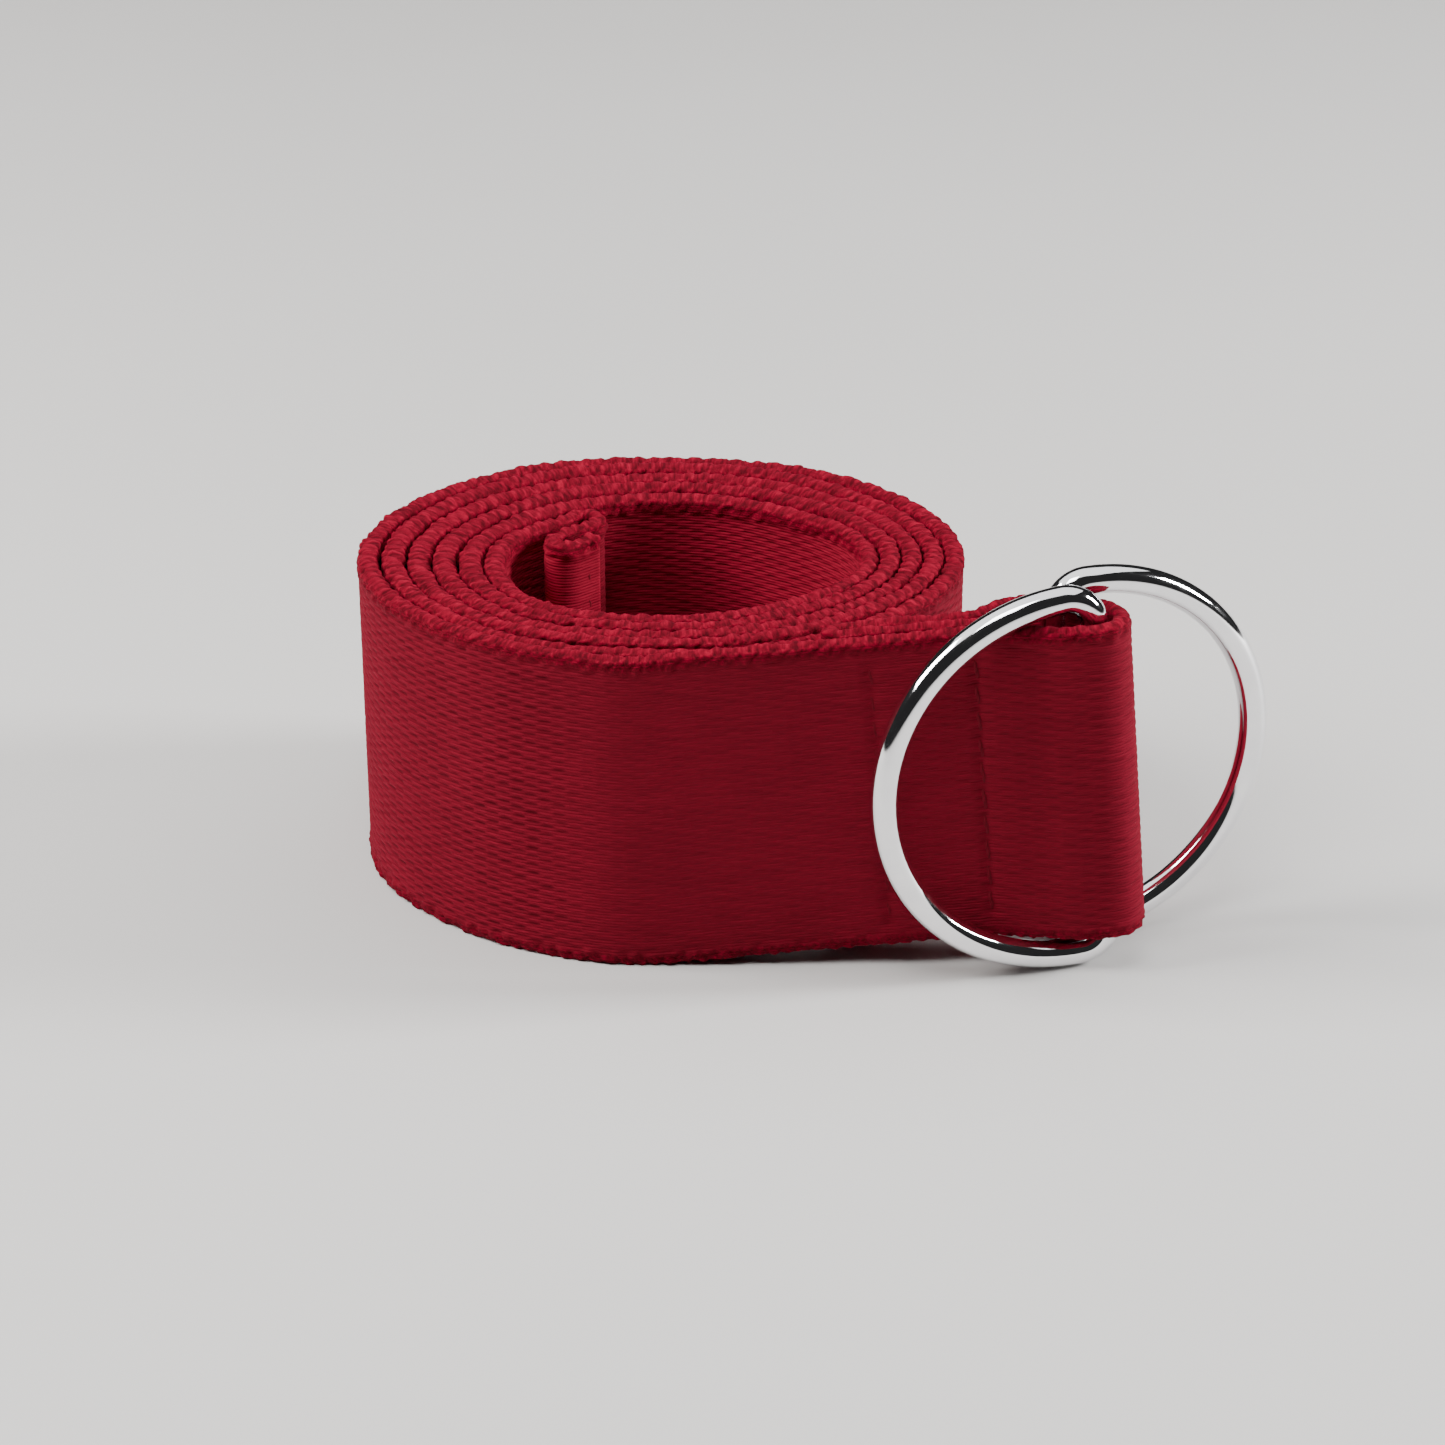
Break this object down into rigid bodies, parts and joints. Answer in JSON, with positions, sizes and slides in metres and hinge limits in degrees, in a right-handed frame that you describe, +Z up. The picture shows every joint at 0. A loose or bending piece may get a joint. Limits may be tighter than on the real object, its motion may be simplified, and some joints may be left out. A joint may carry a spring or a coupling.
{
  "type": "stretching strap",
  "caption": "Heavy cotton webbing strap coiled on its edge, with metal D-rings in a sewn loop at its outer end, for anchoring a limb in assisted stretches.",
  "frame": {"origin": "middle of the bottom of the whole strap's box, on the surface it stands on", "axes": "+X along the lead towards the D-rings, +Y towards the back of the coil, +Z up across the webbing's width"},
  "size_m": [0.104, 0.0662, 0.0466],
  "materials": {
    "cotton_webbing": "matte twill weave",
    "chromed_steel": "polished",
    "sewing_thread": "matte"
  },
  "bodies": {
    "strap": {"webbing": "cotton_webbing", "loop_seam_needle_thread": "sewing_thread", "loop_seam_bobbin_thread": "sewing_thread", "hem_seam_needle_thread": "sewing_thread", "hem_seam_bobbin_thread": "sewing_thread"},
    "front_ring": {"front_d_ring": "chromed_steel"},
    "rear_ring": {"rear_d_ring": "chromed_steel"}
  },
  "joints": [
    {"name": "front_ring_swing", "type": "hinge", "parent": "strap", "child": "front_ring", "pos_m": [0.03226, -0.0247, 0.02361], "axis": [-0.0902, 0, 0.9959], "range_deg": [0, 145]},
    {"name": "rear_ring_swing", "type": "hinge", "parent": "strap", "child": "rear_ring", "pos_m": [0.02658, -0.0218, 0.0233], "axis": [0, 0, 1], "range_deg": [-12, 80]}
  ]
}
